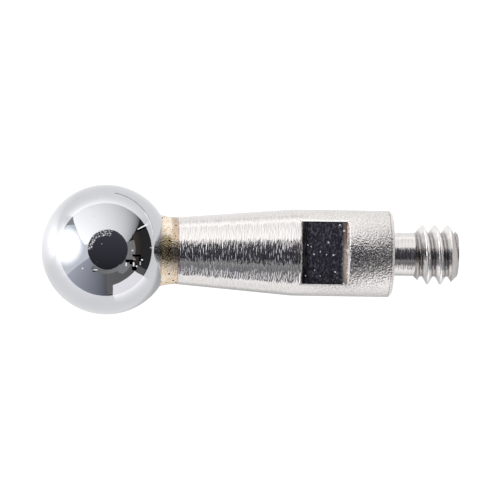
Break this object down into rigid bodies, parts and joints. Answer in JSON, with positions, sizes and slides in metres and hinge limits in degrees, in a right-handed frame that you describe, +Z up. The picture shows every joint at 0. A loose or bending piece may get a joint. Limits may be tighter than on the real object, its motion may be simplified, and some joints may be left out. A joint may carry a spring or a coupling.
{
  "type": "measuring tip",
  "caption": "Ball-ended measuring tip for a lever test indicator: polished ball brazed to a turned, tapered stem with spanner flats and a screw thread.",
  "frame": {"origin": "on the surface that the tip lies on, under the middle of its length", "axes": "+Z up; +X along the tip from the ball to the threaded end, whose axis slopes down by 4.4 degrees as it lies on the ball and the body's rear rim; the spanner flats face up and down"},
  "size_m": [0.0096, 0.003, 0.003],
  "materials": {
    "polished_ball": "mirror polished hard steel",
    "turned_steel": "fine turned stainless steel",
    "braze": "golden brazing metal with dark flux specks"
  },
  "bodies": {
    "root": {"contact_ball": "polished_ball", "threaded_stem": "turned_steel", "braze_joint": "braze"}
  },
  "joints": []
}
